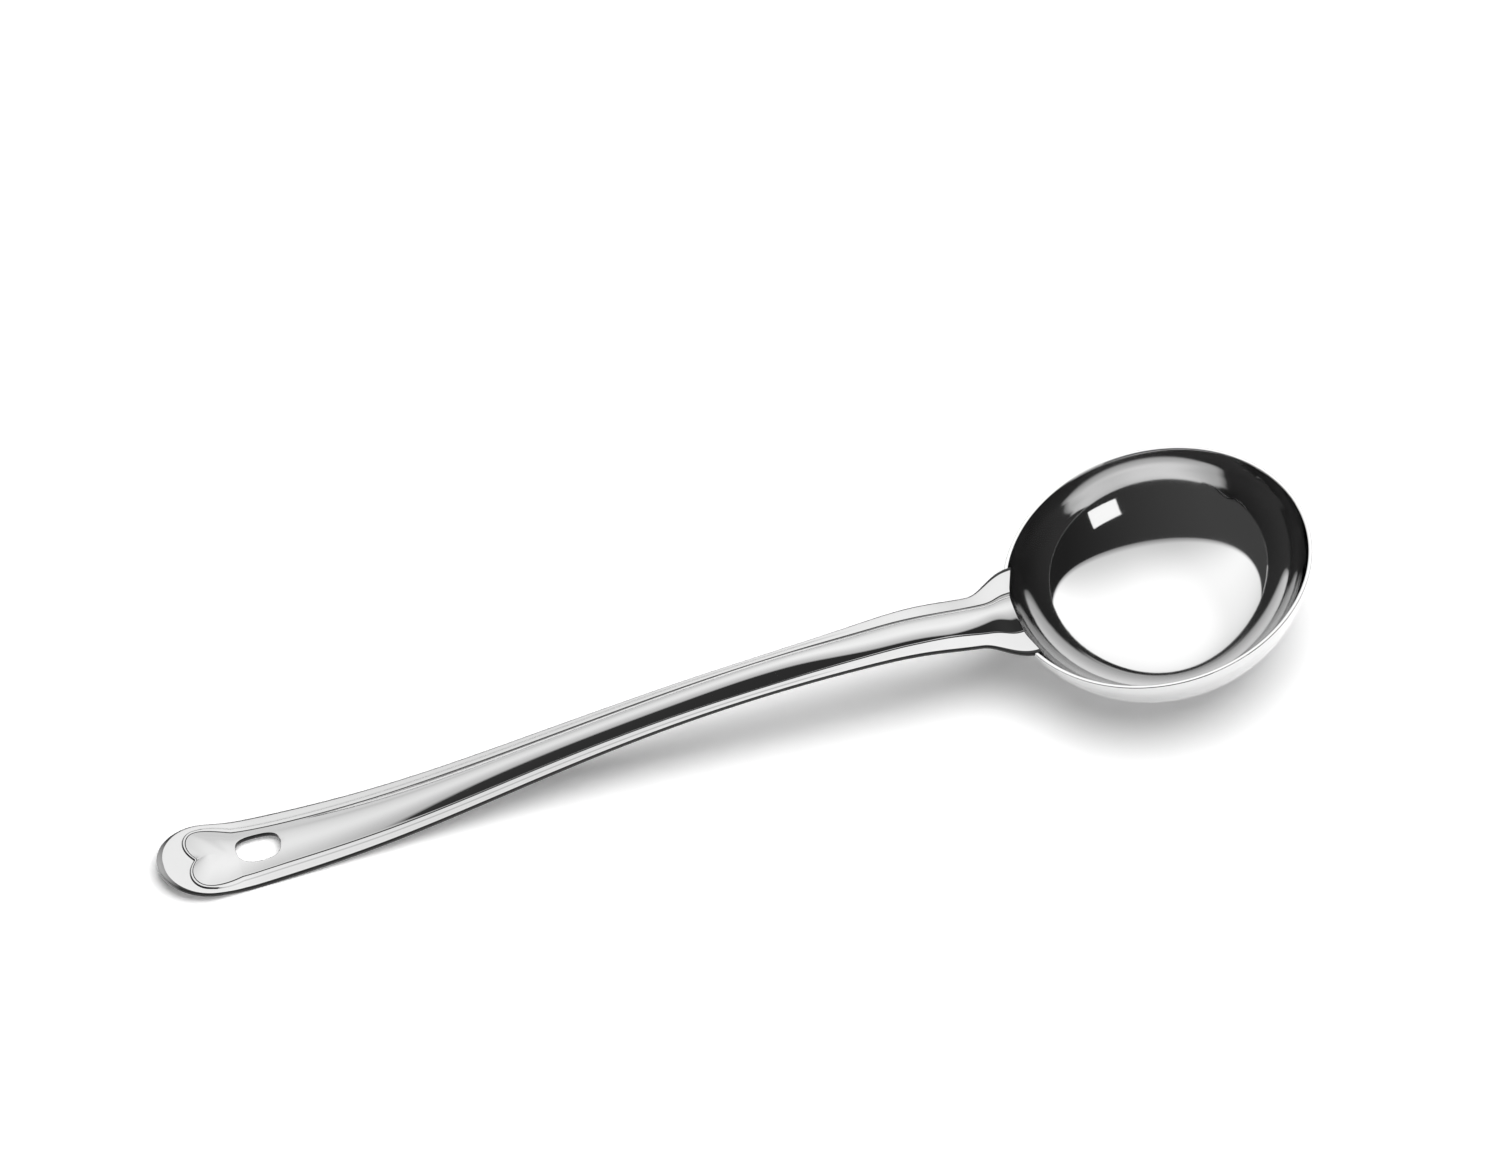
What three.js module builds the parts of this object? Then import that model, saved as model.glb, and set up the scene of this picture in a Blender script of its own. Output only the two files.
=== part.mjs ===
// Serving ladle in stainless steel: a drawn bowl, a pressed sheet handle and the two welds between them.
// Millimetres, +Z up. The ladle lies on a table at Z = 0, on the bowl's base and the back of the handle.
// The pieces are shaped with the rim level at Z = 0, its centre at the origin and the handle towards -X,
// and then laid down together on the table.
import * as THREE from 'three';
import { mergeVertices } from 'three/addons/utils/BufferGeometryUtils.js';

// Sheet and joint
const sheet = 1.2; // thickness of both pressings
const seam = 0.3; // clearance between the welded pieces
const notchDraft = 0.25; // slope on the two ends of the notch in the rim

// Bowl
const rimRadius = 42; // inside, at the rim
const bowlDepth = 27.9; // outside, from the rim to the base
const flareCentre = 6.1; // height above the rim at which the wall would stand upright
const baseRadius = 9.2; // flat spot underneath

// Handle: lengths along it are measured from the inner face of the rim
const handleLength = 243.5;
const rootOverlap = 1; // the end of the handle reaches this far inside the rim
const padLength = 13.9; // round end beyond the widest place
const wingAngle = THREE.MathUtils.degToRad(23.1); // half of the rim that the wings cover
const wingLength = 10.5; // over which the wings draw in
const rootBlend = 16; // over which the cross lines straighten from the rim's curve
// Height of the flanges above the rim, at shares of the length
const riseLine = [[0, 0], [0.04, 1.4], [0.1, 5.3], [0.17, 7.25], [0.26, 8.25], [0.386, 8.5],
  [0.567, 5.9], [0.75, 3.25], [0.88, 4.8], [0.915, 6], [0.943, 8]];
const padSlope = 0.3; // the flat pad at the end rises this much for each unit of length
// Half-width of the sheet, without the wings
const widthLine = [[0, 9.6], [0.08, 9.2], [0.17, 7.95], [0.25, 7.2], [0.33, 7], [0.45, 7.25], [0.6, 8.4],
  [0.75, 10.2], [0.943, 12.95]];
// Half-width and height of the raised crown
const crownLine = [[0, 7.3], [0.006, 7.15], [0.018, 5.8], [0.033, 5.2], [0.06, 4.75], [0.1, 4.65], [0.17, 4.5],
  [0.25, 4.5], [0.41, 4.3], [0.53, 4.5], [0.66, 5.4], [0.74, 6], [0.842, 6.8], [0.88, 7.3], [0.912, 8]];
const crownRise = [[0, 4], [0.016, 3.55], [0.033, 2.8], [0.06, 1.6], [0.1, 1.42], [0.15, 1.42], [0.19, 2.03],
  [0.24, 2.8], [0.3, 3.02], [0.38, 2.67], [0.5, 2.5], [0.62, 2.5], [0.7, 2.15], [0.74, 1.95], [0.842, 1.6],
  [0.912, 1.6]];
// Near the bowl the flanges slope up to the crown
const rootLift = 0.6; // at its highest
const rootLiftLength = 28;
// Heart-shaped end of the crown: distance from the end of the handle and half-width
const heartLine = [[17, 9.4], [12.9, 9.95], [10.1, 8.8], [8.8, 5.9], [9.3, 2.6], [10.9, 0]];
const heartRise = 1.5; // crown height at the heart
const heartRamp = 4; // length of the slope in the notch of the heart
// Ledge along the foot of the crown
const ledgeRise = 0.25;
const ledgeWidth = 1.5;
const ledgeWidthAtHeart = 0.7;
const ledgeStep = 0.3; // width of the small step down to the flange
const ledgeStart = 0.15; // shares of the length between which the ledge rises
const ledgeFull = 0.25;
// Hanging hole
const holeLength = 12.4;
const holeWidth = 9.4;
const holeCentre = 27.6; // from the end of the handle
const holeSquareness = 2.6; // 2 gives an ellipse

// Welds: fillets under the wings
const weldLeg = 2.2;
const weldHollow = 0.4; // share of the leg at the middle of the hollow face
const weldStart = THREE.MathUtils.degToRad(11.4);
const weldEnd = THREE.MathUtils.degToRad(18.2);

// Fineness of the facets
const wallSteps = 16;
const roundSteps = 56;
const bodySteps = 30;
const holeSteps = 14;
const heartSteps = 20;
const crownSteps = 5;
const weldSteps = 6;
const wallCrowding = 2; // over 1 puts the steps closer together near the base
const bodyCrowding = 1.6; // over 1 puts them closer together near the rim
const turnShare = 0.6; // share of the heart's steps that go round the end of the handle
const samePoint = 1e-4; // points closer than this are one

// Looks of the plain model
const polishedColour = 0xd9dadb;
const polishedRoughness = 0.08;
const weldColour = 0xbfc0c2;
const weldRoughness = 0.3;

// A smooth curve y(x) through a few points
function through(points) {
  const slopes = points.map((point, i) => {
    const before = points[Math.max(i - 1, 0)];
    const after = points[Math.min(i + 1, points.length - 1)];
    return (after[1] - before[1]) / (after[0] - before[0]);
  });
  return (x) => {
    let i = 0;
    while (i < points.length - 2 && x > points[i + 1][0]) i += 1;
    const [x0, y0] = points[i];
    const [x1, y1] = points[i + 1];
    const span = x1 - x0;
    const t = (x - x0) / span;
    const bend = span * (slopes[i] * (1 - t) - slopes[i + 1] * t) + (y1 - y0) * (2 * t - 1);
    return y0 + (y1 - y0) * t + t * (1 - t) * bend;
  };
}

// A smooth curve along the handle, which stays level over the rim
const share = (points) => {
  const curve = through(points);
  return (s) => curve(Math.max(s, 0) / handleLength);
};

function smoothStep(from, to, x) {
  return THREE.MathUtils.smoothstep(x, from, to);
}

// Two triangles for each cell of a grid of points
function addGrid(triangles, rows) {
  for (let i = 0; i + 1 < rows.length; i += 1) {
    for (let j = 0; j + 1 < rows[i].length; j += 1) {
      const [a, b, c, d] = [rows[i][j], rows[i][j + 1], rows[i + 1][j + 1], rows[i + 1][j]];
      triangles.push([a, b, c], [a, c, d]);
    }
  }
}

// A closed mesh from triangles; those that shrink to an edge or a point drop out
function toGeometry(triangles) {
  const coincident = (p, q) => p.distanceTo(q) < samePoint;
  const kept = triangles.filter(([a, b, c]) => !coincident(a, b) && !coincident(b, c) && !coincident(c, a));
  const geometry = new THREE.BufferGeometry();
  const positions = kept.flat().flatMap((point) => point.toArray());
  geometry.setAttribute('position', new THREE.Float32BufferAttribute(positions, 3));
  return mergeVertices(geometry, samePoint);
}

function mesh(name, geometry, colour, roughness) {
  const material = new THREE.MeshStandardMaterial({ color: colour, roughness, metalness: 1 });
  const piece = new THREE.Mesh(geometry, material);
  piece.name = name;
  return piece;
}

// Radius of the bowl's wall at a height: part of an ellipse that leaves the flat spot smoothly
function wallCurve(radius, depth) {
  const bulge = (z) => Math.sqrt(Math.max(0, 1 - ((flareCentre - z) / (flareCentre + depth)) ** 2));
  return (z) => baseRadius + (radius - baseRadius) * bulge(z) / bulge(0);
}

const innerWall = wallCurve(rimRadius, bowlDepth - sheet);
const outerWall = wallCurve(rimRadius + sheet, bowlDepth);

// The pressed surface of the handle
const riseCurve = share(riseLine);
const padStart = handleLength - padLength;
const bodyWidth = share(widthLine);
const crownWidth = share(crownLine);
const crownHeight = share(crownRise);
const wingSpread = rimRadius * Math.sin(wingAngle) - bodyWidth(0);

function flangeHeight(s) {
  return s < padStart ? riseCurve(s) : riseCurve(padStart) + padSlope * (s - padStart);
}

function halfWidth(s) {
  const drawnIn = THREE.MathUtils.clamp(s / wingLength, 0, 1);
  const wing = (1 + Math.cos(Math.PI * drawnIn)) / 2;
  return bodyWidth(s) + wingSpread * wing;
}

// A place on the handle, from its distance along it, its half-width and its height above the flanges
function onHandle(s, y, height) {
  const straighten = THREE.MathUtils.clamp(1 - s / rootBlend, 0, 1) ** 2;
  const rimCurve = rimRadius - Math.sqrt(Math.max(rimRadius ** 2 - y ** 2, 0));
  return new THREE.Vector3(-rimRadius - s + straighten * rimCurve, y, flangeHeight(s) + height);
}

// Half of the handle beyond the hole: its outline, the foot of the crown round the heart, and the middle
const holeMiddle = handleLength - holeCentre;
const holeNear = holeMiddle - holeLength / 2;
const holeFar = holeMiddle + holeLength / 2;
const notchTop = handleLength - heartLine.at(-1)[0] - heartRamp;

function outlineAt(t) {
  if (t < 1 - turnShare) {
    const s = THREE.MathUtils.lerp(holeFar, padStart, t / (1 - turnShare));
    return new THREE.Vector2(s, halfWidth(s));
  }
  const left = (1 - t) / turnShare * Math.PI / 2;
  return new THREE.Vector2(padStart + padLength * Math.cos(left), halfWidth(padStart) * Math.sin(left));
}

const heart = new THREE.SplineCurve([
  new THREE.Vector2(holeFar, crownWidth(holeFar)),
  ...heartLine.map(([back, y]) => new THREE.Vector2(handleLength - back, y)),
]);

function middleAt(t) {
  return new THREE.Vector2(THREE.MathUtils.lerp(holeFar, notchTop, t), 0);
}

// Distances along the handle up to the far end of the hole, each with the half-width of the hole there
function straightStations() {
  const stations = [];
  for (let i = 0; i <= bodySteps; i += 1) {
    stations.push([THREE.MathUtils.lerp(-rootOverlap, holeNear, (i / bodySteps) ** bodyCrowding), 0]);
  }
  for (let i = 1; i <= holeSteps; i += 1) {
    const turn = Math.PI * (1 - i / holeSteps);
    const along = Math.sign(Math.cos(turn)) * Math.abs(Math.cos(turn)) ** (2 / holeSquareness);
    const across = Math.sin(turn) ** (2 / holeSquareness);
    stations.push([holeMiddle + along * holeLength / 2, across * holeWidth / 2]);
  }
  return stations;
}

// Height of the crown's foot above the edge of the flange
function footLift(s) {
  return s < rootLiftLength ? rootLift * Math.sin(Math.PI * s / rootLiftLength) ** 2 : 0;
}

// One cross line of the half handle, from the edge of the sheet to the middle of the crown
function crossLine(edge, foot, middle, rise, ledge, width) {
  const toEdge = new THREE.Vector2().subVectors(edge, foot);
  const reach = toEdge.length();
  toEdge.normalize();
  const ledgeEdge = foot.clone().addScaledVector(toEdge, Math.min(width, reach / 2));
  const ledgeFoot = ledgeEdge.clone().addScaledVector(toEdge, Math.min(ledgeStep, reach / 4));
  const lift = footLift(foot.x);
  const sloped = (place) => lift * (1 - place.distanceTo(foot) / reach);
  const line = [onHandle(edge.x, edge.y, 0), onHandle(ledgeFoot.x, ledgeFoot.y, sloped(ledgeFoot)),
    onHandle(ledgeEdge.x, ledgeEdge.y, sloped(ledgeEdge) + ledge)];
  const inner = foot.y > 0 ? middle.y / foot.y : 0;
  for (let k = 0; k <= crownSteps; k += 1) {
    const f = k / crownSteps;
    const place = foot.clone().lerp(middle, f);
    const across = 1 - f + f * inner;
    line.push(onHandle(place.x, place.y, lift + ledge + rise * (1 - across ** 2)));
  }
  return line;
}

function handleLines() {
  const lines = straightStations().map(([s, holeEdge]) => {
    const edge = new THREE.Vector2(s, halfWidth(s));
    const foot = new THREE.Vector2(s, crownWidth(s));
    const middle = new THREE.Vector2(s, holeEdge);
    const ledge = ledgeRise * smoothStep(ledgeStart, ledgeFull, s / handleLength);
    return crossLine(edge, foot, middle, crownHeight(s), ledge, ledgeWidth);
  });
  for (let i = 1; i <= heartSteps; i += 1) {
    const t = i / heartSteps;
    const rise = THREE.MathUtils.lerp(crownHeight(holeFar), heartRise, t);
    const width = THREE.MathUtils.lerp(ledgeWidth, ledgeWidthAtHeart, t);
    lines.push(crossLine(outlineAt(t), heart.getPoint(t), middleAt(t), rise, ledgeRise, width));
  }
  return lines;
}

// The other face of the sheet, one thickness below
function lowerLines(lines) {
  return lines.map((line, i) => line.map((point, j) => {
    const along = lines[Math.min(i + 1, lines.length - 1)][j].clone().sub(lines[Math.max(i - 1, 0)][j]);
    const across = line[Math.min(j + 1, line.length - 1)].clone().sub(line[Math.max(j - 1, 0)]);
    const normal = along.cross(across);
    if (point.y === 0) normal.y = 0;
    if (i === 0) normal.x = 0;
    const below = point.clone().addScaledVector(normal.normalize(), -sheet);
    if (i === 0) below.x = rootOverlap - Math.sqrt(rimRadius ** 2 - below.y ** 2);
    return below;
  }));
}

const upper = handleLines();
const lower = lowerLines(upper);

function makeHandle() {
  const column = (lines, j) => lines.map((line) => line.at(j));
  const loops = (lines) => lines[0].map((_, j) => column(lines, j));
  const half = [];
  addGrid(half, loops(upper));
  addGrid(half, loops(lower).reverse());
  addGrid(half, [column(lower, 0), column(upper, 0)]);
  addGrid(half, [upper[0], lower[0]]);
  const holeEdge = (lines) => column(lines, -1).slice(bodySteps, bodySteps + holeSteps + 1);
  addGrid(half, [holeEdge(upper), holeEdge(lower)]);
  const mirrored = half.map(([a, b, c]) => [a, c, b].map((p) => new THREE.Vector3(p.x, -p.y, p.z)));
  return toGeometry([...half, ...mirrored]);
}

// Height of the bowl's rim round the bowl: it drops under the wings and rises into the crown
function rimStations() {
  const stations = [];
  const notchEnd = wingAngle + seam / rimRadius;
  const notchTopEnd = notchEnd + notchDraft / rimRadius;
  for (const below of lower[0].toReversed()) {
    stations.push([Math.asin(below.y / rimRadius), below.z - seam]);
  }
  stations.push([notchEnd, lower[0][0].z - seam], [notchTopEnd, 0]);
  const plain = Math.round(roundSteps / 2);
  for (let i = 1; i <= plain; i += 1) {
    stations.push([THREE.MathUtils.lerp(notchTopEnd, Math.PI, i / plain), 0]);
  }
  const otherSide = stations.slice(0, -1).toReversed().map(([angle, top]) => [2 * Math.PI - angle, top]);
  return [...stations, ...otherSide];
}

function makeBowl() {
  const columns = rimStations().map(([angle, top]) => {
    const at = (r, z) => new THREE.Vector3(-r * Math.cos(angle), r * Math.sin(angle), z);
    const column = [at(0, sheet - bowlDepth)];
    const climb = (depth, k) => -depth + (top + depth) * (k / wallSteps) ** wallCrowding;
    for (let k = 0; k <= wallSteps; k += 1) {
      const z = climb(bowlDepth - sheet, k);
      column.push(at(innerWall(z), z));
    }
    for (let k = wallSteps; k >= 0; k -= 1) {
      const z = climb(bowlDepth, k);
      column.push(at(outerWall(z), z));
    }
    column.push(at(0, -bowlDepth));
    return column;
  });
  const triangles = [];
  addGrid(triangles, columns.reverse());
  return toGeometry(triangles);
}

// A fillet under one wing, along the outside of the bowl's wall
function makeWeld(side) {
  const sections = [];
  for (let i = 0; i <= weldSteps; i += 1) {
    const angle = THREE.MathUtils.lerp(weldStart, weldEnd, i / weldSteps);
    const at = (out, down) => {
      const z = -sheet - seam - down;
      const r = outerWall(z) + seam + out;
      return new THREE.Vector3(-r * Math.cos(angle), side * r * Math.sin(angle), z);
    };
    const hollow = weldHollow * weldLeg;
    sections.push([at(0, 0), at(0, weldLeg), at(hollow, hollow), at(weldLeg, 0), at(0, 0)]);
  }
  const triangles = [];
  addGrid(triangles, sections);
  for (const section of [sections[0].toReversed(), sections.at(-1)]) {
    const [corner, second, middle, fourth] = section;
    triangles.push([corner, second, middle], [corner, middle, fourth]);
  }
  return toGeometry(side > 0 ? triangles : triangles.map(([a, b, c]) => [a, c, b]));
}

// Slope of the table under the level ladle: the line that touches the handle's back and the bowl's base
function tableSlope(bowlGeometry, handleGeometry) {
  const points = (geometry) => {
    const position = geometry.getAttribute('position');
    return Array.from({ length: position.count }, (_, i) => new THREE.Vector3().fromBufferAttribute(position, i));
  };
  const backs = points(handleGeometry).filter((p) => p.x < -rimRadius - handleLength / 2);
  const bases = points(bowlGeometry).filter((p) => p.z < -bowlDepth / 2);
  const lowestBack = (base) => Math.min(...backs.map((back) => (back.z - base.z) / (base.x - back.x)));
  return Math.max(...bases.map(lowestBack));
}

const bowl = mesh('bowl', makeBowl(), polishedColour, polishedRoughness);
const handle = mesh('handle', makeHandle(), polishedColour, polishedRoughness);
const weldLeft = mesh('weld_left', makeWeld(1), weldColour, weldRoughness);
const weldRight = mesh('weld_right', makeWeld(-1), weldColour, weldRoughness);

const levelLadle = new THREE.Group();
levelLadle.add(bowl, handle, weldLeft, weldRight);
levelLadle.rotation.y = -Math.atan(tableSlope(bowl.geometry, handle.geometry));

// Origin at the middle of the ladle's box, on the table
const ladle = new THREE.Group();
ladle.add(levelLadle);
ladle.updateMatrixWorld(true);
const box = new THREE.Box3().setFromObject(ladle, true);
levelLadle.position.set(-(box.min.x + box.max.x) / 2, -(box.min.y + box.max.y) / 2, -box.min.z);
ladle.updateMatrixWorld(true);

export default ladle;
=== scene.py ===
import math

import bmesh
import bpy
import numpy as np
from mathutils import Matrix, Vector


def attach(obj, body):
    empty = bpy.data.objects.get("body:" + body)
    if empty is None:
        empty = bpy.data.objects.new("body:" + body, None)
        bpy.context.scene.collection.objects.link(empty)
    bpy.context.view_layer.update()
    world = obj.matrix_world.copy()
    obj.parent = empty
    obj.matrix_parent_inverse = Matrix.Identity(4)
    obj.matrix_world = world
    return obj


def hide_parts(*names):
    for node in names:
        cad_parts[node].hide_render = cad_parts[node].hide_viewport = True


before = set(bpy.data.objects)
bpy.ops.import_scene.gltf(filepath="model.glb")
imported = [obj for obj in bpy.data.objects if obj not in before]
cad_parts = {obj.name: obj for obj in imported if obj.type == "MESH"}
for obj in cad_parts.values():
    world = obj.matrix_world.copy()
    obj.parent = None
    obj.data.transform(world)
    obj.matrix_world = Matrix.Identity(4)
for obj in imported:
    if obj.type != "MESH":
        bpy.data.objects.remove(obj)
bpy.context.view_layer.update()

# Shapes are drawn in millimetres with the rim level at height 0, its centre at the origin and the handle
# towards -X, and then laid down on the table
MM = 0.001
REST_TILT = math.radians(-7.3)
REST_PLACE = Vector((0.121039, 0.0, 0.029115))  # centre of the rim, in metres
LAY_DOWN = Matrix.Translation(REST_PLACE) @ Matrix.Rotation(REST_TILT, 4, "Y") @ Matrix.Scale(MM, 4)
SAME_POINT = 0.001  # corners closer than this are merged

# Both pressings
SHEET = 1.2
EDGE_ROUND = 0.12  # cut edges of the handle
EDGE_SEGMENTS = 1
EDGE_AND_CREASE_SHADE = 1  # number of the handle's dark cut-edge material, also used as painted shade along the crease at the crown's foot
RIM_ROUND = 0.45  # polished rim of the bowl
RIM_SEGMENTS = 5
SHARP_ANGLE = math.radians(55)  # edges sharper than this are rounded

# Bowl
RIM_RADIUS = 42.0  # inside, at the rim
BOWL_DEPTH = 27.9  # outside, from the rim to the base
FLARE_CENTRE = 6.1  # height above the rim at which the wall would stand upright
BASE_RADIUS = 9.2  # flat spot underneath
BOWL_COLUMNS = 180
BOWL_ROWS = 56
DRAW_LINE = 5.4  # faint ring left by the drawing die, this far below the rim
DRAW_STEP = 0.12  # the wall below the ring is this much further in
DRAW_BLEND = 0.6
BURIED = 0.15  # the rim ends this far below the handle's upper face, inside the weld

# Handle, in distances from the inner face of the rim; each list gives shares of the length and sizes there
HANDLE_LENGTH = 243.5
ROOT_OVERLAP = 1.0  # the end of the handle reaches this far inside the rim
PAD_LENGTH = 13.9  # round end beyond the widest place
PAD_SLOPE = 0.3  # rise of the flat pad for each unit of length
WING_ANGLE = math.radians(23.1)  # half of the rim that the wings cover
WING_LENGTH = 10.5  # over which the wings draw in
ROOT_BLEND = 16.0  # over which the cross lines straighten from the rim's curve
FLANGE_RISE = [(0, 0), (0.04, 1.4), (0.1, 5.3), (0.17, 7.25), (0.26, 8.25), (0.386, 8.5), (0.567, 5.9),
               (0.75, 3.25), (0.88, 4.8), (0.915, 6), (0.943, 8)]
HALF_WIDTH = [(0, 9.6), (0.08, 9.2), (0.17, 7.95), (0.25, 7.2), (0.33, 7), (0.45, 7.25), (0.6, 8.4),
              (0.75, 10.2), (0.943, 12.95)]
CROWN_FOOT = [(0, 7.3), (0.006, 7.15), (0.018, 5.8), (0.033, 5.2), (0.06, 4.75), (0.1, 4.65), (0.17, 4.5),
              (0.25, 4.5), (0.41, 4.3), (0.53, 4.5), (0.66, 5.4), (0.74, 6), (0.842, 6.8), (0.88, 7.3),
              (0.912, 8)]
CROWN_RISE = [(0, 4), (0.016, 3.55), (0.033, 2.8), (0.06, 1.75), (0.1, 1.75), (0.15, 1.75), (0.19, 2.1),
              (0.24, 2.8), (0.3, 3.02), (0.38, 2.67), (0.5, 2.5), (0.62, 2.5), (0.7, 2.15), (0.74, 1.95),
              (0.842, 1.6), (0.912, 1.6)]
ROOT_FLATNESS = 0.5  # behind the bowl the crown is flatter on top and steeper at its feet
FLATNESS_GROWS = (0.02, 0.06)  # shares of the length between which that comes
FLATNESS_FADES = (0.13, 0.24)  # and goes
ROOT_LIFT = 0.6  # near the bowl the flanges slope up to the crown
ROOT_LIFT_LENGTH = 28.0
# End of the crown, as distances back from the tip and half widths there
HEART = [(17, 9.4), (12.9, 9.95), (10.1, 8.8), (8.8, 5.9), (9.3, 2.6), (10.9, 0)]
HEART_RISE = 1.5
HEART_RAMP = 4.0  # length of the slope in the notch of the heart
# Fine ledge between the flange and the crown
LEDGE_RISE = 0.25
LEDGE_WIDTH = 1.5
LEDGE_WIDTH_AT_HEART = 0.7
LEDGE_RISE_AT_HEART = 0.45
LEDGE_GROWS_AT_HEART = (0.2, 0.5)  # shares of the way round the heart
LEDGE_STEP = 0.3  # width of the small step down to the flange
LEDGE_GROWS = (0.15, 0.25)  # shares of the length
CREASE_SUPPORT = 0.3  # distance of the lines that keep a crease sharp
SHADED_CREASE_ROW = 5  # row of faces along the foot of the crown, counted from the edge, painted dark with the cut edge's material as shade in the crease
# Lines of the mesh between the foot of the crown and its middle
CROWN_SHARES = (0, 0.06, 0.18, 0.34, 0.5, 0.66, 0.82, 1)
# Hanging hole
HOLE_LENGTH = 12.4
HOLE_WIDTH = 9.4
HOLE_CENTRE = 27.6  # from the end of the handle
HOLE_SQUARENESS = 2.6  # 2 gives an ellipse
# Cross lines of the mesh
BODY_STATIONS = 110
BODY_CROWDING = 1.25  # over 1 puts them closer together near the rim
HOLE_STATIONS = 16
HEART_STATIONS = 36
TURN_SHARE = 0.6  # share of the heart's stations that go round the end of the handle

# Welds
WELD_LEG = 2.2
WELD_HOLLOW = 0.4  # share of the leg at the middle of the hollow face
WELD_START = math.radians(11.4)
WELD_END = math.radians(18.2)
WELD_SEAM = 0.05  # clearance to the bowl and the wing
WELD_STATIONS = 16

# Finishes
LINE_SPACING = 1.2  # polishing lines, coarser than real ones so that they show
LINE_LENGTH = 40.0
LINE_DEPTH = 0.0004
WAVE_LENGTH = 14.0  # waviness of the pressed sheet
WAVE_DEPTH = 0.004
SMUDGE_SIZE = 22.0
SMUDGE_LEVELS = (0.35, 0.7)  # of the noise, between which the polish grows duller
POLISHED_ROUGHNESS = (0.045, 0.1)
BURR_SIZE = 0.8
SHEARED_ROUGHNESS = (0.25, 0.5)
TIP_LIGHTER_LENGTH = 4.5  # of the cut edge at the tip, over which it turns lighter
RIPPLE_SPACING = 0.7
RIPPLE_DEPTH = 0.05
BEAD_ROUGHNESS = 0.32

# Camera at the photograph's angle, with a long lens; places from here on are in metres
CAMERA_PLACE = Vector((-0.25518, -1.64953, 1.90004))
CAMERA_AZIMUTH = math.radians(-9.0709)
CAMERA_ELEVATION = math.radians(47.757)
CAMERA_ROLL = math.radians(-6.6998)
CAMERA_LENS = 220.4
CAMERA_SENSOR = 36.0

# White table
TABLE_REACH = 2.5  # from its middle to its edges
TABLE_GLOW = 0.12  # to the camera
TABLE_GLEAM = 0.4  # and in reflections

# Large round softbox above and behind. Front, back, side and hem are the shares of its full light that are
# left there, and each fade gives the places between which the light changes
SOFTBOX_PLACE = Vector((0.48, 2.256, 1.2))
SOFTBOX_RADIUS = 2.88
SOFTBOX_CORNERS = 96
SOFTBOX_FULL = 1.95
SOFTBOX_FRONT = 0.55
SOFTBOX_FRONT_FADE = (-0.624, 0.6)
SOFTBOX_BACK = 0.7
SOFTBOX_BACK_FADE = (0.72, 3.0)
SOFTBOX_SIDE = 0.86  # towards the handle's end
SOFTBOX_SIDE_FADE = (-0.48, 0.24)
SOFTBOX_HEM = 0.35  # at the very edge, where the cloth bends round its frame
SOFTBOX_HEM_START = 0.955  # share of the radius

# White panel far behind the table
PANEL_PLACE = 4.0
PANEL_LOW = 0.14
PANEL_HIGH = 1.6
PANEL_REACH = 6.0  # to each side
PANEL_GLOW = 1.3

# Small softbox in front of the ladle, on the right
SMALL_SOFTBOX_PLACE = Vector((0.5, -0.98, 0.5))
SMALL_SOFTBOX_TARGET = Vector((0.12, 0, 0))
SMALL_SOFTBOX_SIZE = (0.45, 0.35)
SMALL_SOFTBOX_LEVEL = 1.6

# Lamp over the table
TABLE_LAMP_PLACE = Vector((0.39, -0.21, 1.96))
TABLE_LAMP_TARGET = Vector((0.03, 0, 0))
TABLE_LAMP_SIZE = (2.15, 2.15)
TABLE_LAMP_LEVEL = 4.6

# Dark studio round it all, lighter on the side of the handle's end
STUDIO_GREYS = (0.085, 0.025)
STUDIO_FADE = (-0.8, 0.8)


def smooth_line(points):
    """A curve of even curvature through a few points, as a function of their first number."""
    place, value = np.array(points, float).T
    gap = np.diff(place)
    slope = np.diff(value) / gap
    system = np.eye(len(place))
    pull = np.zeros(len(place))
    for i in range(1, len(gap)):
        system[i, i - 1:i + 2] = gap[i - 1], 2 * (gap[i - 1] + gap[i]), gap[i]
        pull[i] = 6 * (slope[i] - slope[i - 1])
    bend = np.linalg.solve(system, pull)

    def at(x):
        # The curve is level before its first point
        x = max(x, place[0])
        i = int(np.clip(np.searchsorted(place, x) - 1, 0, len(gap) - 1))
        b = (x - place[i]) / gap[i]
        a = 1 - b
        curve = (a**3 - a) * bend[i] + (b**3 - b) * bend[i + 1]
        return float(a * value[i] + b * value[i + 1] + curve * gap[i] ** 2 / 6)

    return at


def smooth_step(start, end, x):
    t = min(max((x - start) / (end - start), 0), 1)
    return t * t * (3 - 2 * t)


def mix(a, b, t):
    return a + (b - a) * t


# The bowl's wall is part of an ellipse that leaves the flat base smoothly
def wall_radius(z, rim, depth):
    def bulge(height):
        return math.sqrt(max(0, 1 - ((FLARE_CENTRE - height) / (FLARE_CENTRE + depth)) ** 2))

    below_line = (1 - math.tanh((z + DRAW_LINE) / DRAW_BLEND)) / 2
    return BASE_RADIUS + (rim - BASE_RADIUS) * bulge(z) / bulge(0) - DRAW_STEP * below_line


def wall_heights(depth):
    """Heights at even steps round the ellipse, from the base to the rim."""
    turn = math.acos(FLARE_CENTRE / (FLARE_CENTRE + depth)) / BOWL_ROWS
    return [FLARE_CENTRE - (FLARE_CENTRE + depth) * math.cos(turn * i) for i in range(BOWL_ROWS + 1)]


# The pressed surface of the handle
flange_rise = smooth_line(FLANGE_RISE)
body_width = smooth_line(HALF_WIDTH)
crown_foot = smooth_line(CROWN_FOOT)
crown_rise = smooth_line(CROWN_RISE)
PAD_START = HANDLE_LENGTH - PAD_LENGTH
HOLE_MIDDLE = HANDLE_LENGTH - HOLE_CENTRE
HOLE_NEAR = HOLE_MIDDLE - HOLE_LENGTH / 2
HOLE_FAR = HOLE_MIDDLE + HOLE_LENGTH / 2
NOTCH_TOP = HANDLE_LENGTH - HEART[-1][0] - HEART_RAMP
WING_SPREAD = RIM_RADIUS * math.sin(WING_ANGLE) - body_width(0)


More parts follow.
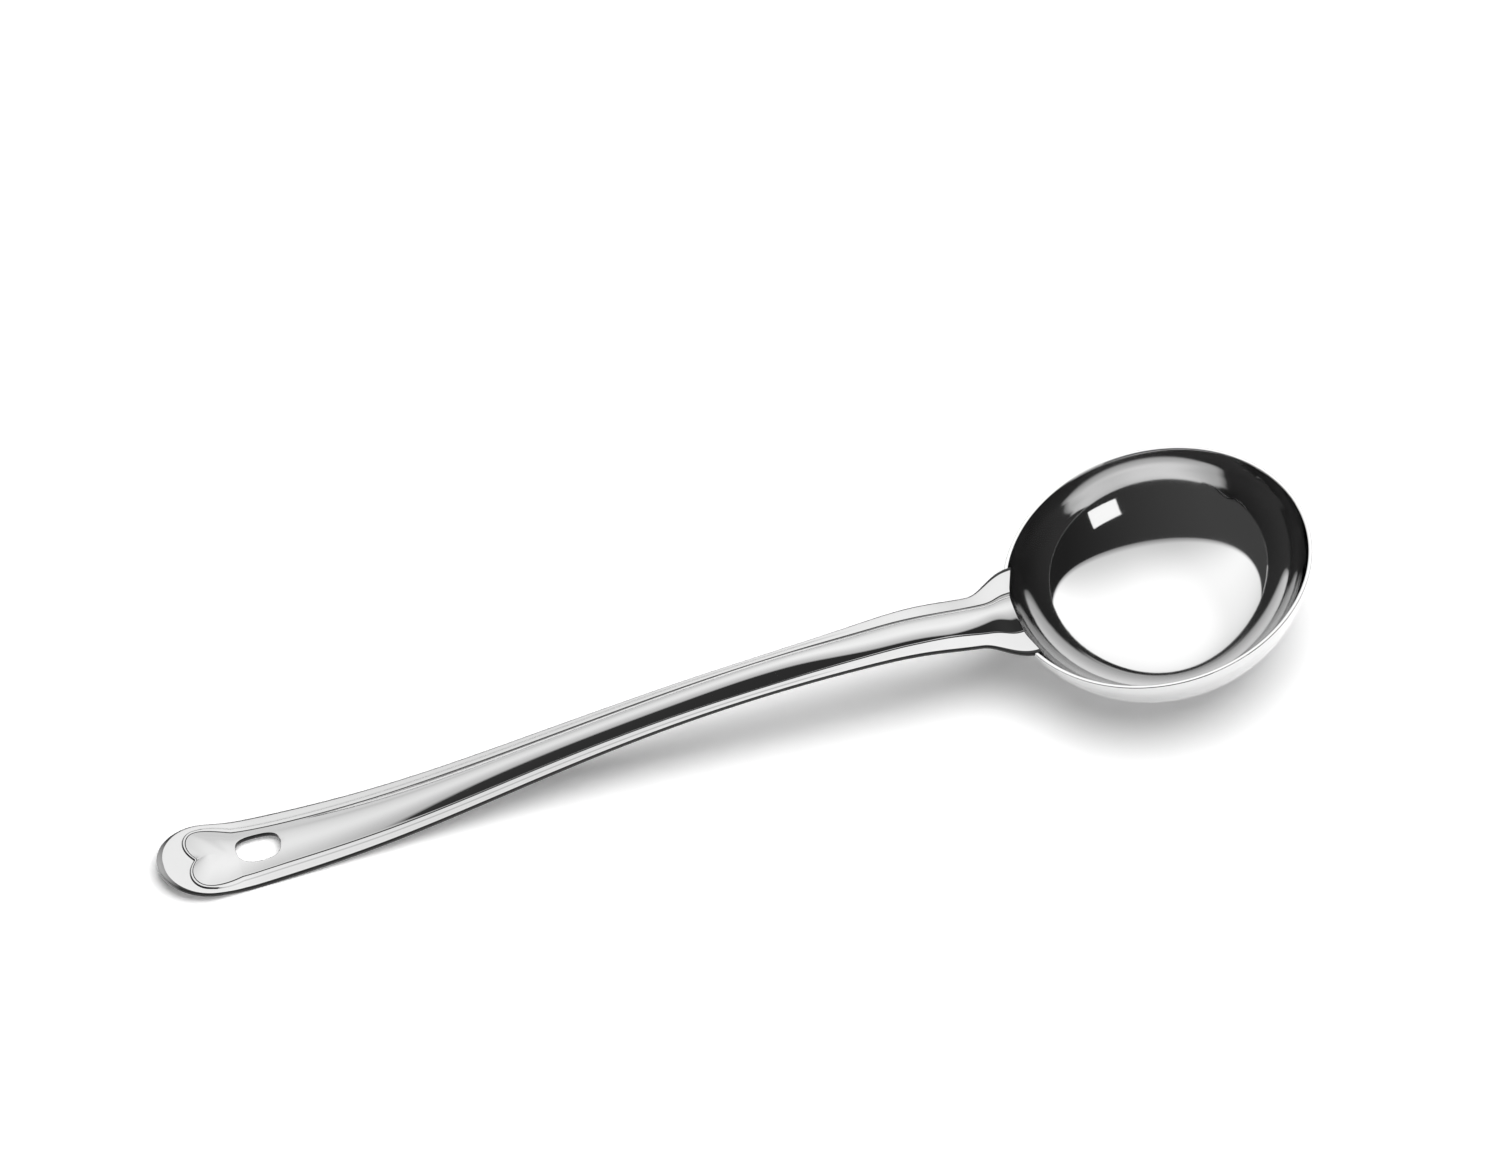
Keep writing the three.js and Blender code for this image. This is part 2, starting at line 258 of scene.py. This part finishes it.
def flange_height(s):
    if s < PAD_START:
        return flange_rise(s / HANDLE_LENGTH)
    return flange_rise(PAD_START / HANDLE_LENGTH) + PAD_SLOPE * (s - PAD_START)


def half_width(s):
    drawn_in = min(max(s / WING_LENGTH, 0), 1)
    wing = (1 + math.cos(math.pi * drawn_in)) / 2
    return body_width(s / HANDLE_LENGTH) + WING_SPREAD * wing


def on_handle(s, y, height):
    straighten = min(max(1 - s / ROOT_BLEND, 0), 1) ** 2
    rim_curve = RIM_RADIUS - math.sqrt(max(RIM_RADIUS**2 - y**2, 0))
    return Vector((-RIM_RADIUS - s + straighten * rim_curve, y, flange_height(s) + height))


def outline_at(t):
    if t < 1 - TURN_SHARE:
        s = mix(HOLE_FAR, PAD_START, t / (1 - TURN_SHARE))
        return Vector((s, half_width(s)))
    left = (1 - t) / TURN_SHARE * math.pi / 2
    return Vector((PAD_START + PAD_LENGTH * math.cos(left), half_width(PAD_START) * math.sin(left)))


heart_points = [(HOLE_FAR, crown_foot(HOLE_FAR / HANDLE_LENGTH))]
heart_points += [(HANDLE_LENGTH - back, y) for back, y in HEART]
heart_shares = np.linspace(0, 1, len(heart_points))
heart_along = smooth_line([(t, point[0]) for t, point in zip(heart_shares, heart_points)])
heart_across = smooth_line([(t, point[1]) for t, point in zip(heart_shares, heart_points)])


def foot_lift(s):
    return ROOT_LIFT * math.sin(math.pi * s / ROOT_LIFT_LENGTH) ** 2 if s < ROOT_LIFT_LENGTH else 0


def crown_power(s):
    """Power of the curve across the crown: 2 is a parabola."""
    share = s / HANDLE_LENGTH
    return 2 + ROOT_FLATNESS * smooth_step(*FLATNESS_GROWS, share) * (1 - smooth_step(*FLATNESS_FADES, share))


def cross_line(edge, foot, middle, rise, ledge, ledge_width):
    """Points across half of the handle, from the edge of the sheet to its middle line."""
    room = (edge - foot).length
    lift = foot_lift(foot.x)
    out = (edge - foot).normalized()
    ledge_edge = min(ledge_width, room / 2)
    ledge_foot = ledge_edge + min(LEDGE_STEP, room / 4)
    support = min(CREASE_SUPPORT, room / 6)
    flange = [(room, 0), (ledge_foot + support, 0), (ledge_foot, 0), (ledge_edge, ledge),
              (ledge_edge - support, ledge), (support, ledge)]
    places = [(foot + out * reach, height + lift * (1 - reach / room)) for reach, height in flange]
    inner = middle.y / foot.y if foot.y > 0 else 0
    for share in CROWN_SHARES:
        across = mix(1, inner, share)
        places.append((foot.lerp(middle, share), lift + ledge + rise * (1 - across ** crown_power(foot.x))))
    return [on_handle(place.x, place.y, height) for place, height in places]


def handle_lines():
    """Cross lines of half the handle, from the rim to the tip."""
    stations = []
    for i in range(BODY_STATIONS + 1):
        stations.append((mix(-ROOT_OVERLAP, HOLE_NEAR, (i / BODY_STATIONS) ** BODY_CROWDING), 0))
    for i in range(1, HOLE_STATIONS + 1):
        turn = math.pi * (1 - i / HOLE_STATIONS)
        along = math.copysign(abs(math.cos(turn)) ** (2 / HOLE_SQUARENESS), math.cos(turn))
        across = max(math.sin(turn), 0) ** (2 / HOLE_SQUARENESS) if i < HOLE_STATIONS else 0
        stations.append((HOLE_MIDDLE + along * HOLE_LENGTH / 2, across * HOLE_WIDTH / 2))
    lines = []
    for s, hole_edge in stations:
        share = s / HANDLE_LENGTH
        ledge = LEDGE_RISE * smooth_step(*LEDGE_GROWS, share)
        edge = Vector((s, half_width(s)))
        foot = Vector((s, crown_foot(share)))
        middle = Vector((s, hole_edge))
        lines.append(cross_line(edge, foot, middle, crown_rise(share), ledge, LEDGE_WIDTH))
    for i in range(1, HEART_STATIONS + 1):
        t = i / HEART_STATIONS
        foot = Vector((heart_along(t), heart_across(t) if i < HEART_STATIONS else 0))
        middle = Vector((mix(HOLE_FAR, NOTCH_TOP, t), 0))
        rise = mix(crown_rise(HOLE_FAR / HANDLE_LENGTH), HEART_RISE, t)
        width = mix(LEDGE_WIDTH, LEDGE_WIDTH_AT_HEART, t)
        ledge = mix(LEDGE_RISE, LEDGE_RISE_AT_HEART, smooth_step(*LEDGE_GROWS_AT_HEART, t))
        lines.append(cross_line(outline_at(t), foot, middle, rise, ledge, width))
    return lines


def linear(hex_colour):
    """A linear colour from its sRGB hex value."""
    parts = [int(hex_colour[i:i + 2], 16) / 255 for i in (1, 3, 5)]
    return [c / 12.92 if c <= 0.04045 else ((c + 0.055) / 1.055) ** 2.4 for c in parts] + [1]


def add_node(tree, kind, settings, links=()):
    """Adds a node with its settings, and feeds its inputs from other nodes' outputs."""
    node = tree.nodes.new("ShaderNode" + kind)
    for name, value in settings.items():
        if isinstance(name, int) or name in node.inputs:
            node.inputs[name].default_value = value
        else:
            setattr(node, name, value)
    for name, output in dict(links).items():
        tree.links.new(output, node.inputs[name])
    return node


def new_material(name):
    material = bpy.data.materials.new(name)
    material.use_nodes = True
    material.node_tree.nodes.clear()
    return material, material.node_tree


# Mirror-polished stainless steel: grey mirror with faint polishing lines and a slight waviness of the sheet
def polished_steel(name, colour):
    material, tree = new_material(name)
    place = add_node(tree, "TexCoord", {}).outputs["Object"]
    stretch = (LINE_SPACING / LINE_LENGTH, 1, 1)
    lines_place = add_node(tree, "Mapping", {"Scale": stretch}, {"Vector": place})
    lines = add_node(tree, "TexNoise", {"Scale": 1 / (LINE_SPACING * MM), "Detail": 3},
                     {"Vector": lines_place.outputs["Vector"]})
    waves = add_node(tree, "TexNoise", {"Scale": 1 / (WAVE_LENGTH * MM), "Detail": 1}, {"Vector": place})
    smudges = add_node(tree, "TexNoise", {"Scale": 1 / (SMUDGE_SIZE * MM), "Detail": 4}, {"Vector": place})
    clean, smudged = SMUDGE_LEVELS
    smooth, dull = POLISHED_ROUGHNESS
    roughness = add_node(tree, "MapRange", {"From Min": clean, "From Max": smudged, "To Min": smooth,
                                            "To Max": dull}, {"Value": smudges.outputs["Fac"]})
    wavy = add_node(tree, "Bump", {"Strength": 1, "Distance": WAVE_DEPTH * MM},
                    {"Height": waves.outputs["Fac"]})
    lined = add_node(tree, "Bump", {"Strength": 1, "Distance": LINE_DEPTH * MM},
                     {"Height": lines.outputs["Fac"], "Normal": wavy.outputs["Normal"]})
    shader = add_node(tree, "BsdfPrincipled", {"Base Color": linear(colour), "Metallic": 1},
                      {"Roughness": roughness.outputs["Result"], "Normal": lined.outputs["Normal"]})
    add_node(tree, "OutputMaterial", {}, {"Surface": shader.outputs["BSDF"]})
    return material


# Cut edge of the sheet: a dull grey that is also darkened as painted shade, making a dark line round the
# handle that is lighter towards the very tip; the same material paints shade along the crease at the foot of
# the crown
def cut_edge_and_shade():
    material, tree = new_material("stainless_steel_cut_edge_and_painted_shade")
    place = add_node(tree, "TexCoord", {}).outputs["Object"]
    burrs = add_node(tree, "TexNoise", {"Scale": 1 / (BURR_SIZE * MM), "Detail": 2}, {"Vector": place})
    smooth, dull = SHEARED_ROUGHNESS
    roughness = add_node(tree, "MapRange", {"To Min": smooth, "To Max": dull},
                         {"Value": burrs.outputs["Fac"]})
    along = add_node(tree, "SeparateXYZ", {}, {"Vector": place}).outputs["X"]
    tip = (LAY_DOWN @ on_handle(HANDLE_LENGTH, 0, 0)).x
    toward_tip = add_node(tree, "MapRange", {"From Min": tip, "From Max": tip + TIP_LIGHTER_LENGTH * MM},
                      {"Value": along})
    # The dark grey is partly the dull cut edge and partly painted shade; the lighter grey is at the tip
    colour = add_node(tree, "Mix", {"data_type": "RGBA", 6: linear("#949494"), 7: linear("#363636")},
                      {"Factor": toward_tip.outputs["Result"]})
    shader = add_node(tree, "BsdfPrincipled", {"Metallic": 1},
                      {"Base Color": colour.outputs[2], "Roughness": roughness.outputs["Result"]})
    add_node(tree, "OutputMaterial", {}, {"Surface": shader.outputs["BSDF"]})
    return material


# Weld bead brushed clean: duller grey with fine cross ripples
def weld_steel():
    material, tree = new_material("stainless_steel_weld_bead")
    place = add_node(tree, "TexCoord", {}).outputs["Object"]
    # At a scale of 1 the bands of this texture are a tenth of pi apart
    scale = math.pi / 10 / (RIPPLE_SPACING * MM)
    ripples = add_node(tree, "TexWave", {"Scale": scale, "Distortion": 2, "bands_direction": "Y"},
                       {"Vector": place})
    bump = add_node(tree, "Bump", {"Strength": 1, "Distance": RIPPLE_DEPTH * MM},
                    {"Height": ripples.outputs["Fac"]})
    looks = {"Base Color": linear("#bdbcba"), "Metallic": 1, "Roughness": BEAD_ROUGHNESS}
    shader = add_node(tree, "BsdfPrincipled", looks, {"Normal": bump.outputs["Normal"]})
    add_node(tree, "OutputMaterial", {}, {"Surface": shader.outputs["BSDF"]})
    return material


def new_object(name, shape, material):
    mesh = bpy.data.meshes.new(name)
    shape.to_mesh(mesh)
    shape.free()
    mesh.materials.append(material)
    thing = bpy.data.objects.new(name, mesh)
    bpy.context.scene.collection.objects.link(thing)
    return thing


def finish_mesh(name, shape, material):
    """Lays a drawn shape down on the table and makes it an object."""
    shape.transform(LAY_DOWN)
    piece = new_object(name, shape, material)
    piece.data.shade_smooth()
    return piece


def round_edges(piece, width, segments):
    """Rounds the cut edges of the sheet."""
    bevel = piece.modifiers.new("rounded_edges", "BEVEL")
    bevel.width = width * MM
    bevel.segments = segments
    bevel.limit_method = "ANGLE"
    bevel.angle_limit = SHARP_ANGLE
    bevel.use_clamp_overlap = False
    return bevel


def dress(piece, node):
    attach(piece, "root")
    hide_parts(node)


def make_handle(material, edge_and_shade_material):
    lines = handle_lines()
    along = len(lines) - 1
    across = len(lines[0]) - 1
    shape = bmesh.new()
    bmesh.ops.create_grid(shape, x_segments=along, y_segments=across, size=1)
    # The row along the foot of the crown takes the dark edge material: painted shade in the crease
    for face in shape.faces:
        if int((face.calc_center_median().y + 1) / 2 * across) == SHADED_CREASE_ROW:
            face.material_index = EDGE_AND_CREASE_SHADE
    for corner in shape.verts:
        i = round((corner.co.x + 1) / 2 * along)
        j = round((corner.co.y + 1) / 2 * across)
        corner.co = lines[i][j]
    half = shape.verts[:] + shape.edges[:] + shape.faces[:]
    bmesh.ops.mirror(shape, geom=half, merge_dist=SAME_POINT, axis="Y")
    bmesh.ops.recalc_face_normals(shape, faces=shape.faces)
    if sum(face.normal.z for face in shape.faces) < 0:
        bmesh.ops.reverse_faces(shape, faces=shape.faces)
    handle = finish_mesh("handle_pressing", shape, material)
    sheet = handle.modifiers.new("sheet", "SOLIDIFY")
    sheet.thickness = SHEET * MM
    sheet.offset = -1
    sheet.use_even_offset = True
    sheet.material_offset_rim = EDGE_AND_CREASE_SHADE
    handle.data.materials.append(edge_and_shade_material)
    round_edges(handle, EDGE_ROUND, EDGE_SEGMENTS).material = EDGE_AND_CREASE_SHADE
    smooth = handle.modifiers.new("smooth_faces", "SUBSURF")
    smooth.levels = 1
    smooth.render_levels = 1
    return handle


def rim_height(angle):
    """Height of the bowl's rim: it runs into the wings and the crown of the handle."""
    y = RIM_RADIUS * math.sin(min(angle, math.pi / 2))
    if angle > WING_ANGLE:
        return 0
    return crown_rise(0) * max(0, 1 - (y / crown_foot(0)) ** 2) - BURIED


def make_bowl(material):
    inside, outside = (RIM_RADIUS, BOWL_DEPTH - SHEET), (RIM_RADIUS + SHEET, BOWL_DEPTH)
    shape = bmesh.new()
    profile = [Vector((0, 0, SHEET - BOWL_DEPTH))]
    profile += [Vector((-wall_radius(z, *inside), 0, z)) for z in wall_heights(inside[1])]
    profile += [Vector((-wall_radius(z, *outside), 0, z)) for z in reversed(wall_heights(outside[1]))]
    profile.append(Vector((0, 0, -BOWL_DEPTH)))
    corners = [shape.verts.new(place) for place in profile]
    edges = [shape.edges.new(pair) for pair in zip(corners, corners[1:])]
    bmesh.ops.spin(shape, geom=corners + edges, axis=(0, 0, 1), angle=2 * math.pi, steps=BOWL_COLUMNS,
                   use_merge=True)
    bmesh.ops.remove_doubles(shape, verts=shape.verts, dist=SAME_POINT)
    for corner in shape.verts:
        radius = math.hypot(corner.co.x, corner.co.y)
        if radius < BASE_RADIUS / 2:
            continue
        angle = math.atan2(corner.co.y, -corner.co.x)
        middle_wall = (wall_radius(corner.co.z, *inside) + wall_radius(corner.co.z, *outside)) / 2
        rim, depth = inside if radius < middle_wall else outside
        share = (corner.co.z + depth) / depth
        z = -depth + (rim_height(abs(angle)) + depth) * share
        radius = wall_radius(z, rim, depth)
        corner.co = Vector((-radius * math.cos(angle), radius * math.sin(angle), z))
    bmesh.ops.recalc_face_normals(shape, faces=shape.faces)
    bowl = finish_mesh("bowl_drawing", shape, material)
    round_edges(bowl, RIM_ROUND, RIM_SEGMENTS).harden_normals = True
    return bowl


def make_weld(side, material):
    """A hollow fillet under one wing, spun along the outside of the bowl's wall."""
    top = -SHEET - WELD_SEAM

    def place(out, down):
        wall = wall_radius(top - down, RIM_RADIUS + SHEET, BOWL_DEPTH)
        return Vector((-wall - WELD_SEAM - out, 0, top - down))

    hollow = WELD_HOLLOW * WELD_LEG
    shape = bmesh.new()
    section = ((0, 0), (0, WELD_LEG), (hollow, hollow), (WELD_LEG, 0))
    corners = [shape.verts.new(place(*spot)) for spot in section]
    end = shape.faces.new(corners)
    bmesh.ops.rotate(shape, verts=corners, matrix=Matrix.Rotation(-side * WELD_START, 3, "Z"))
    bmesh.ops.spin(shape, geom=[end], axis=(0, 0, 1), angle=-side * (WELD_END - WELD_START),
                   steps=WELD_STATIONS)
    bmesh.ops.recalc_face_normals(shape, faces=shape.faces)
    return finish_mesh("weld_bead_left" if side > 0 else "weld_bead_right", shape, material)


bead = weld_steel()
# The handle's steel is a darker copy of the bowl's steel: painted shade, for the handle catching less light
# than the bowl
handle_steel_shaded = polished_steel("stainless_steel_shaded_copy", "#b2b2b2")
bowl_steel = polished_steel("stainless_steel_mirror_polished", "#c6c6c6")
dress(make_handle(handle_steel_shaded, cut_edge_and_shade()), "handle")
dress(make_bowl(bowl_steel), "bowl")
dress(make_weld(1, bead), "weld_left")
dress(make_weld(-1, bead), "weld_right")

# Camera
lens = bpy.data.cameras.new("camera")
lens.sensor_width = CAMERA_SENSOR
lens.lens = CAMERA_LENS
camera = bpy.data.objects.new("camera", lens)
tilt = Matrix.Rotation(math.pi / 2 - CAMERA_ELEVATION, 4, "X")
turn = Matrix.Rotation(CAMERA_AZIMUTH, 4, "Z")
camera.matrix_world = Matrix.Translation(CAMERA_PLACE) @ turn @ tilt @ Matrix.Rotation(CAMERA_ROLL, 4, "Z")
bpy.context.scene.collection.objects.link(camera)
bpy.context.scene.camera = camera


def stage_object(name, shape, material):
    thing = new_object(name, shape, material)
    return thing


# White laminate: matt white, with a glow to the camera and in the metal that keeps it white all over
def white_laminate():
    material, tree = new_material("white_laminate_table")
    matt = add_node(tree, "BsdfDiffuse", {"Color": linear("#fdfdfd")})
    path = add_node(tree, "LightPath", {}).outputs
    mirrored = add_node(tree, "Math", {"operation": "MAXIMUM"},
                        {0: path["Is Glossy Ray"], 1: path["Is Transmission Ray"]})
    gleam = add_node(tree, "Math", {"operation": "MULTIPLY", 1: TABLE_GLEAM}, {0: mirrored.outputs["Value"]})
    level = add_node(tree, "Math", {"operation": "MULTIPLY_ADD", 1: TABLE_GLOW},
                     {0: path["Is Camera Ray"], 2: gleam.outputs["Value"]})
    glow = add_node(tree, "Emission", {}, {"Strength": level.outputs["Value"]})
    both = add_node(tree, "AddShader", {}, {0: matt.outputs["BSDF"], 1: glow.outputs["Emission"]})
    add_node(tree, "OutputMaterial", {}, {"Surface": both.outputs["Shader"]})
    return material


shape = bmesh.new()
bmesh.ops.create_grid(shape, x_segments=1, y_segments=1, size=TABLE_REACH)
stage_object("table", shape, white_laminate())


# White diffuser cloth lit from behind: it dims towards its front, back, side and hem
def diffuser_cloth():
    material, tree = new_material("softbox_diffuser_cloth")
    place = add_node(tree, "TexCoord", {}).outputs["Object"]
    away = add_node(tree, "VectorMath", {"operation": "DISTANCE", 1: SOFTBOX_PLACE},
                    {0: place}).outputs["Value"]
    spot = add_node(tree, "SeparateXYZ", {}, {"Vector": place}).outputs
    hem_fade = (SOFTBOX_HEM_START * SOFTBOX_RADIUS, SOFTBOX_RADIUS)
    fades = (
        (spot["Y"], SOFTBOX_BACK_FADE, (SOFTBOX_FULL, SOFTBOX_BACK * SOFTBOX_FULL), "LINEAR"),
        (spot["Y"], SOFTBOX_FRONT_FADE, (SOFTBOX_FRONT, 1), "SMOOTHSTEP"),
        (spot["X"], SOFTBOX_SIDE_FADE, (SOFTBOX_SIDE, 1), "SMOOTHSTEP"),
        (away, hem_fade, (1, SOFTBOX_HEM), "LINEAR"),
    )
    shares = []
    for value, (start, end), (first, last), curve in fades:
        share = add_node(tree, "MapRange", {"From Min": start, "From Max": end, "To Min": first,
                                            "To Max": last, "interpolation_type": curve}, {"Value": value})
        shares.append(share.outputs["Result"])
    level = shares[0]
    for share in shares[1:]:
        level = add_node(tree, "Math", {"operation": "MULTIPLY"}, {0: level, 1: share}).outputs["Value"]
    glow = add_node(tree, "Emission", {"Color": linear("#ffffff")}, {"Strength": level})
    add_node(tree, "OutputMaterial", {}, {"Surface": glow.outputs["Emission"]})
    return material


shape = bmesh.new()
bmesh.ops.create_circle(shape, cap_ends=True, segments=SOFTBOX_CORNERS, radius=SOFTBOX_RADIUS,
                        matrix=Matrix.Translation(SOFTBOX_PLACE))
softbox = stage_object("overhead_softbox", shape, diffuser_cloth())
softbox.visible_diffuse = False
softbox.visible_shadow = False


# White panel: evenly lit, so that it gives the metal a plain white band
def lit_panel():
    material, tree = new_material("white_panel_lit")
    glow = add_node(tree, "Emission", {"Color": linear("#ffffff"), "Strength": PANEL_GLOW})
    add_node(tree, "OutputMaterial", {}, {"Surface": glow.outputs["Emission"]})
    return material


shape = bmesh.new()
lower = [(-PANEL_REACH, PANEL_LOW), (PANEL_REACH, PANEL_LOW)]
upper = [(PANEL_REACH, PANEL_HIGH), (-PANEL_REACH, PANEL_HIGH)]
shape.faces.new([shape.verts.new((x, PANEL_PLACE, z)) for x, z in lower + upper])
stage_object("back_panel", shape, lit_panel()).visible_diffuse = False


def area_lamp(name, shape, place, target, size, radiance):
    light = bpy.data.lights.new(name, "AREA")
    light.shape = shape
    light.size, light.size_y = size
    area = size[0] * size[1] * (math.pi / 4 if shape == "DISK" else 1)
    light.energy = radiance * math.pi * area
    lamp = bpy.data.objects.new(name, light)
    facing = (place - target).to_track_quat("Z", "Y").to_matrix().to_4x4()
    lamp.matrix_world = Matrix.Translation(place) @ facing
    bpy.context.scene.collection.objects.link(lamp)
    return lamp


# The metal mirrors the small softbox, and not the lamp over the table
area_lamp("small_softbox", "RECTANGLE", SMALL_SOFTBOX_PLACE, SMALL_SOFTBOX_TARGET, SMALL_SOFTBOX_SIZE,
          SMALL_SOFTBOX_LEVEL)
table_lamp = area_lamp("table_lamp", "DISK", TABLE_LAMP_PLACE, TABLE_LAMP_TARGET, TABLE_LAMP_SIZE,
                       TABLE_LAMP_LEVEL)
table_lamp.visible_glossy = False

# Studio
world = bpy.data.worlds.new("dark_studio")
world.use_nodes = True
way = add_node(world.node_tree, "TexCoord", {}).outputs["Generated"]
side = add_node(world.node_tree, "SeparateXYZ", {}, {"Vector": way}).outputs["X"]
shade = add_node(world.node_tree, "MapRange", {"From Min": STUDIO_FADE[0], "From Max": STUDIO_FADE[1],
                                               "To Min": STUDIO_GREYS[0], "To Max": STUDIO_GREYS[1]},
                 {"Value": side})
world.node_tree.links.new(shade.outputs["Result"], world.node_tree.nodes["Background"].inputs["Color"])
bpy.context.scene.world = world
bpy.context.scene.view_settings.view_transform = "Standard"
